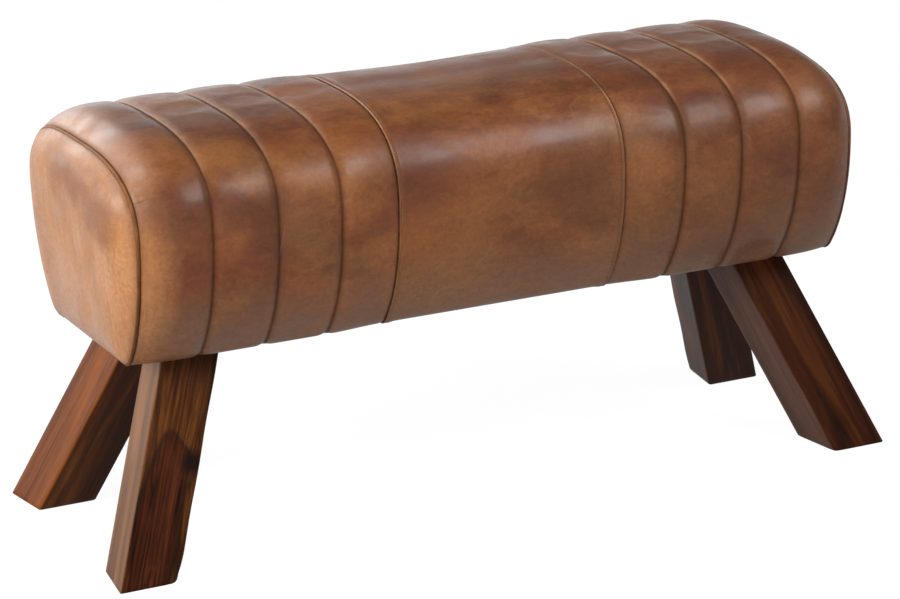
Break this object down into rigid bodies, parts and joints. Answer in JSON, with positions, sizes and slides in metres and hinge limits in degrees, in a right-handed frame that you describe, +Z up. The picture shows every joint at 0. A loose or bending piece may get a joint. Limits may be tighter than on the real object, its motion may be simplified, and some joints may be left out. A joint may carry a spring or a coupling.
{
  "type": "upholstered bench",
  "caption": "Low bench shaped like a pommel horse: a leather-covered padded body with sewn channels at both ends on splayed square wooden legs.",
  "frame": {"origin": "on the floor at the middle of the footprint", "axes": "+X along the body, +Y to the back, +Z up; the front is -Y and the left end is -X"},
  "size_m": [0.9782, 0.3588, 0.485],
  "materials": {
    "leather": "waxed, patinated, satin",
    "welt_leather": "dark waxed cord",
    "foam": "open-cell upholstery foam, matte",
    "pine": "sawn, unfinished",
    "plywood": "unfinished plywood",
    "dust_cloth": "black spun cloth",
    "sheesham": "stained and lacquered, satin",
    "zinc_steel": "bright zinc plated"
  },
  "bodies": {
    "root": {"centre_panel": "leather", "left_channel_1": "leather", "left_channel_2": "leather", "left_channel_3": "leather", "left_channel_4": "leather", "right_channel_1": "leather", "right_channel_2": "leather", "right_channel_3": "leather", "right_channel_4": "leather", "left_end_cap": "leather", "right_end_cap": "leather", "left_end_welt": "welt_leather", "right_end_welt": "welt_leather", "top_foam": "foam", "front_foam": "foam", "back_foam": "foam", "left_end_foam": "foam", "right_end_foam": "foam", "front_rail": "pine", "back_rail": "pine", "left_end_board": "pine", "right_end_board": "pine", "left_cross_rail": "pine", "centre_cross_rail": "pine", "right_cross_rail": "pine", "left_leg_plank": "pine", "right_leg_plank": "pine", "deck_board": "plywood", "dust_cover": "dust_cloth", "front_left_leg": "sheesham", "back_left_leg": "sheesham", "front_right_leg": "sheesham", "back_right_leg": "sheesham", "front_left_coach_screw_1": "zinc_steel", "front_left_coach_screw_2": "zinc_steel", "back_left_coach_screw_1": "zinc_steel", "back_left_coach_screw_2": "zinc_steel", "front_right_coach_screw_1": "zinc_steel", "front_right_coach_screw_2": "zinc_steel", "back_right_coach_screw_1": "zinc_steel", "back_right_coach_screw_2": "zinc_steel", "front_left_washer_1": "zinc_steel", "front_left_washer_2": "zinc_steel", "back_left_washer_1": "zinc_steel", "back_left_washer_2": "zinc_steel", "front_right_washer_1": "zinc_steel", "front_right_washer_2": "zinc_steel", "back_right_washer_1": "zinc_steel", "back_right_washer_2": "zinc_steel"}
  },
  "joints": []
}
